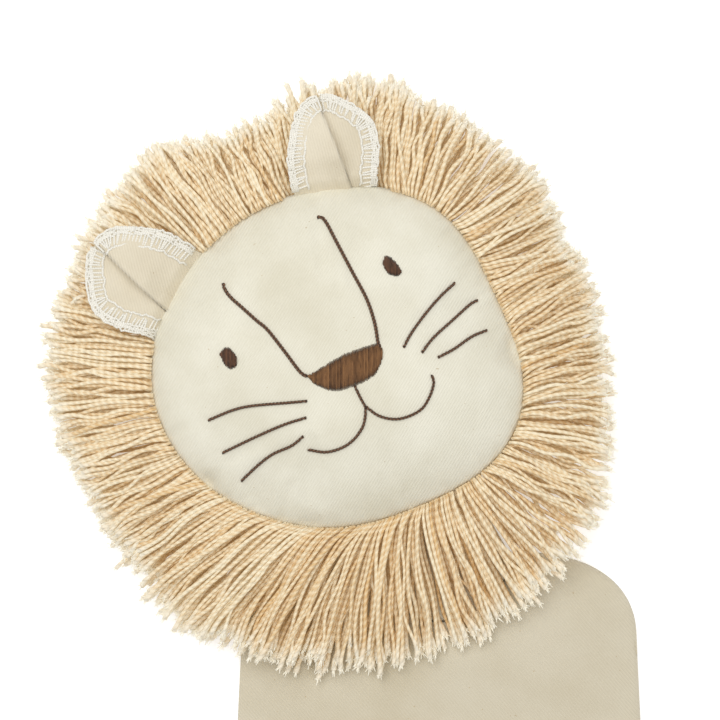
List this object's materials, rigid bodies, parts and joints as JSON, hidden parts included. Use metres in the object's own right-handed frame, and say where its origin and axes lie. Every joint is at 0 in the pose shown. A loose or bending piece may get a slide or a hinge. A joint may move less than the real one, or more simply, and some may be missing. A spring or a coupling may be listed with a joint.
{
  "type": "hand puppet",
  "caption": "Flat cotton hand puppet of a lion: padded face with stitched features, a thick cord mane, folding ears and a hand sleeve, lying on its back.",
  "frame": {"origin": "the neck pivot, where the head tilts on the body, on the outer face of the back panel", "axes": "+X to the right seen from the face side, +Y from the hem towards the head, +Z out of the face; the puppet lies on its back on Z = 0"},
  "size_m": [0.2162, 0.3309, 0.0407],
  "materials": {
    "cotton_twill": "matte undyed cotton twill",
    "cotton_lining": "matte cotton lining",
    "cotton_cord": "twisted undyed cotton cord with frayed ends",
    "fibre_filling": "loose polyester fibre",
    "embroidery_thread": "slightly glossy embroidery thread",
    "overlock_thread": "matte white overlock thread"
  },
  "bodies": {
    "sleeve": {"body_front_panel": "cotton_twill", "body_back_panel": "cotton_twill", "front_hem_facing": "cotton_lining", "back_hem_facing": "cotton_lining", "left_side_seam": "cotton_lining", "right_side_seam": "cotton_lining"},
    "neck": {"neck_tube": "cotton_twill", "beard_front_fringe": "cotton_cord", "beard_back_fringe": "cotton_cord"},
    "head": {"face_panel": "cotton_twill", "head_back_panel": "cotton_twill", "head_filling": "fibre_filling", "finger_pocket": "cotton_lining", "mane_heading_tape": "cotton_cord", "mane_front_fringe": "cotton_cord", "mane_back_fringe": "cotton_cord", "left_bridge_line": "embroidery_thread", "left_eye_embroidery": "embroidery_thread", "left_smile_line": "embroidery_thread", "left_whisker_1": "embroidery_thread", "left_whisker_2": "embroidery_thread", "left_whisker_3": "embroidery_thread", "nose_embroidery": "embroidery_thread", "philtrum_line": "embroidery_thread", "right_bridge_line": "embroidery_thread", "right_eye_embroidery": "embroidery_thread", "right_smile_line": "embroidery_thread", "right_whisker_1": "embroidery_thread", "right_whisker_2": "embroidery_thread", "right_whisker_3": "embroidery_thread"},
    "left_ear": {"left_ear_cloth": "cotton_twill", "left_ear_overlock": "overlock_thread"},
    "right_ear": {"right_ear_cloth": "cotton_twill", "right_ear_overlock": "overlock_thread"}
  },
  "joints": [
    {"name": "neck_tilt", "type": "hinge", "parent": "sleeve", "child": "neck", "pos_m": [0, 0, 0], "axis": [0, 0, 1], "range_deg": [-70, 10]},
    {"name": "head_nod", "type": "hinge", "parent": "neck", "child": "head", "pos_m": [-0.00725, 0.01256, 0.0225], "axis": [0.866, 0.5, 0], "range_deg": [0, 60]},
    {"name": "left_ear_fold", "type": "hinge", "parent": "head", "child": "left_ear", "pos_m": [-0.09363, 0.09035, 0.023], "axis": [0.454, 0.891, 0], "range_deg": [0, 110], "stiffness_Nm_per_rad": 0.0006},
    {"name": "right_ear_fold", "type": "hinge", "parent": "head", "child": "right_ear", "pos_m": [-0.03671, 0.12748, 0.023], "axis": [0.9925, 0.1219, 0], "range_deg": [0, 110], "stiffness_Nm_per_rad": 0.0006}
  ]
}
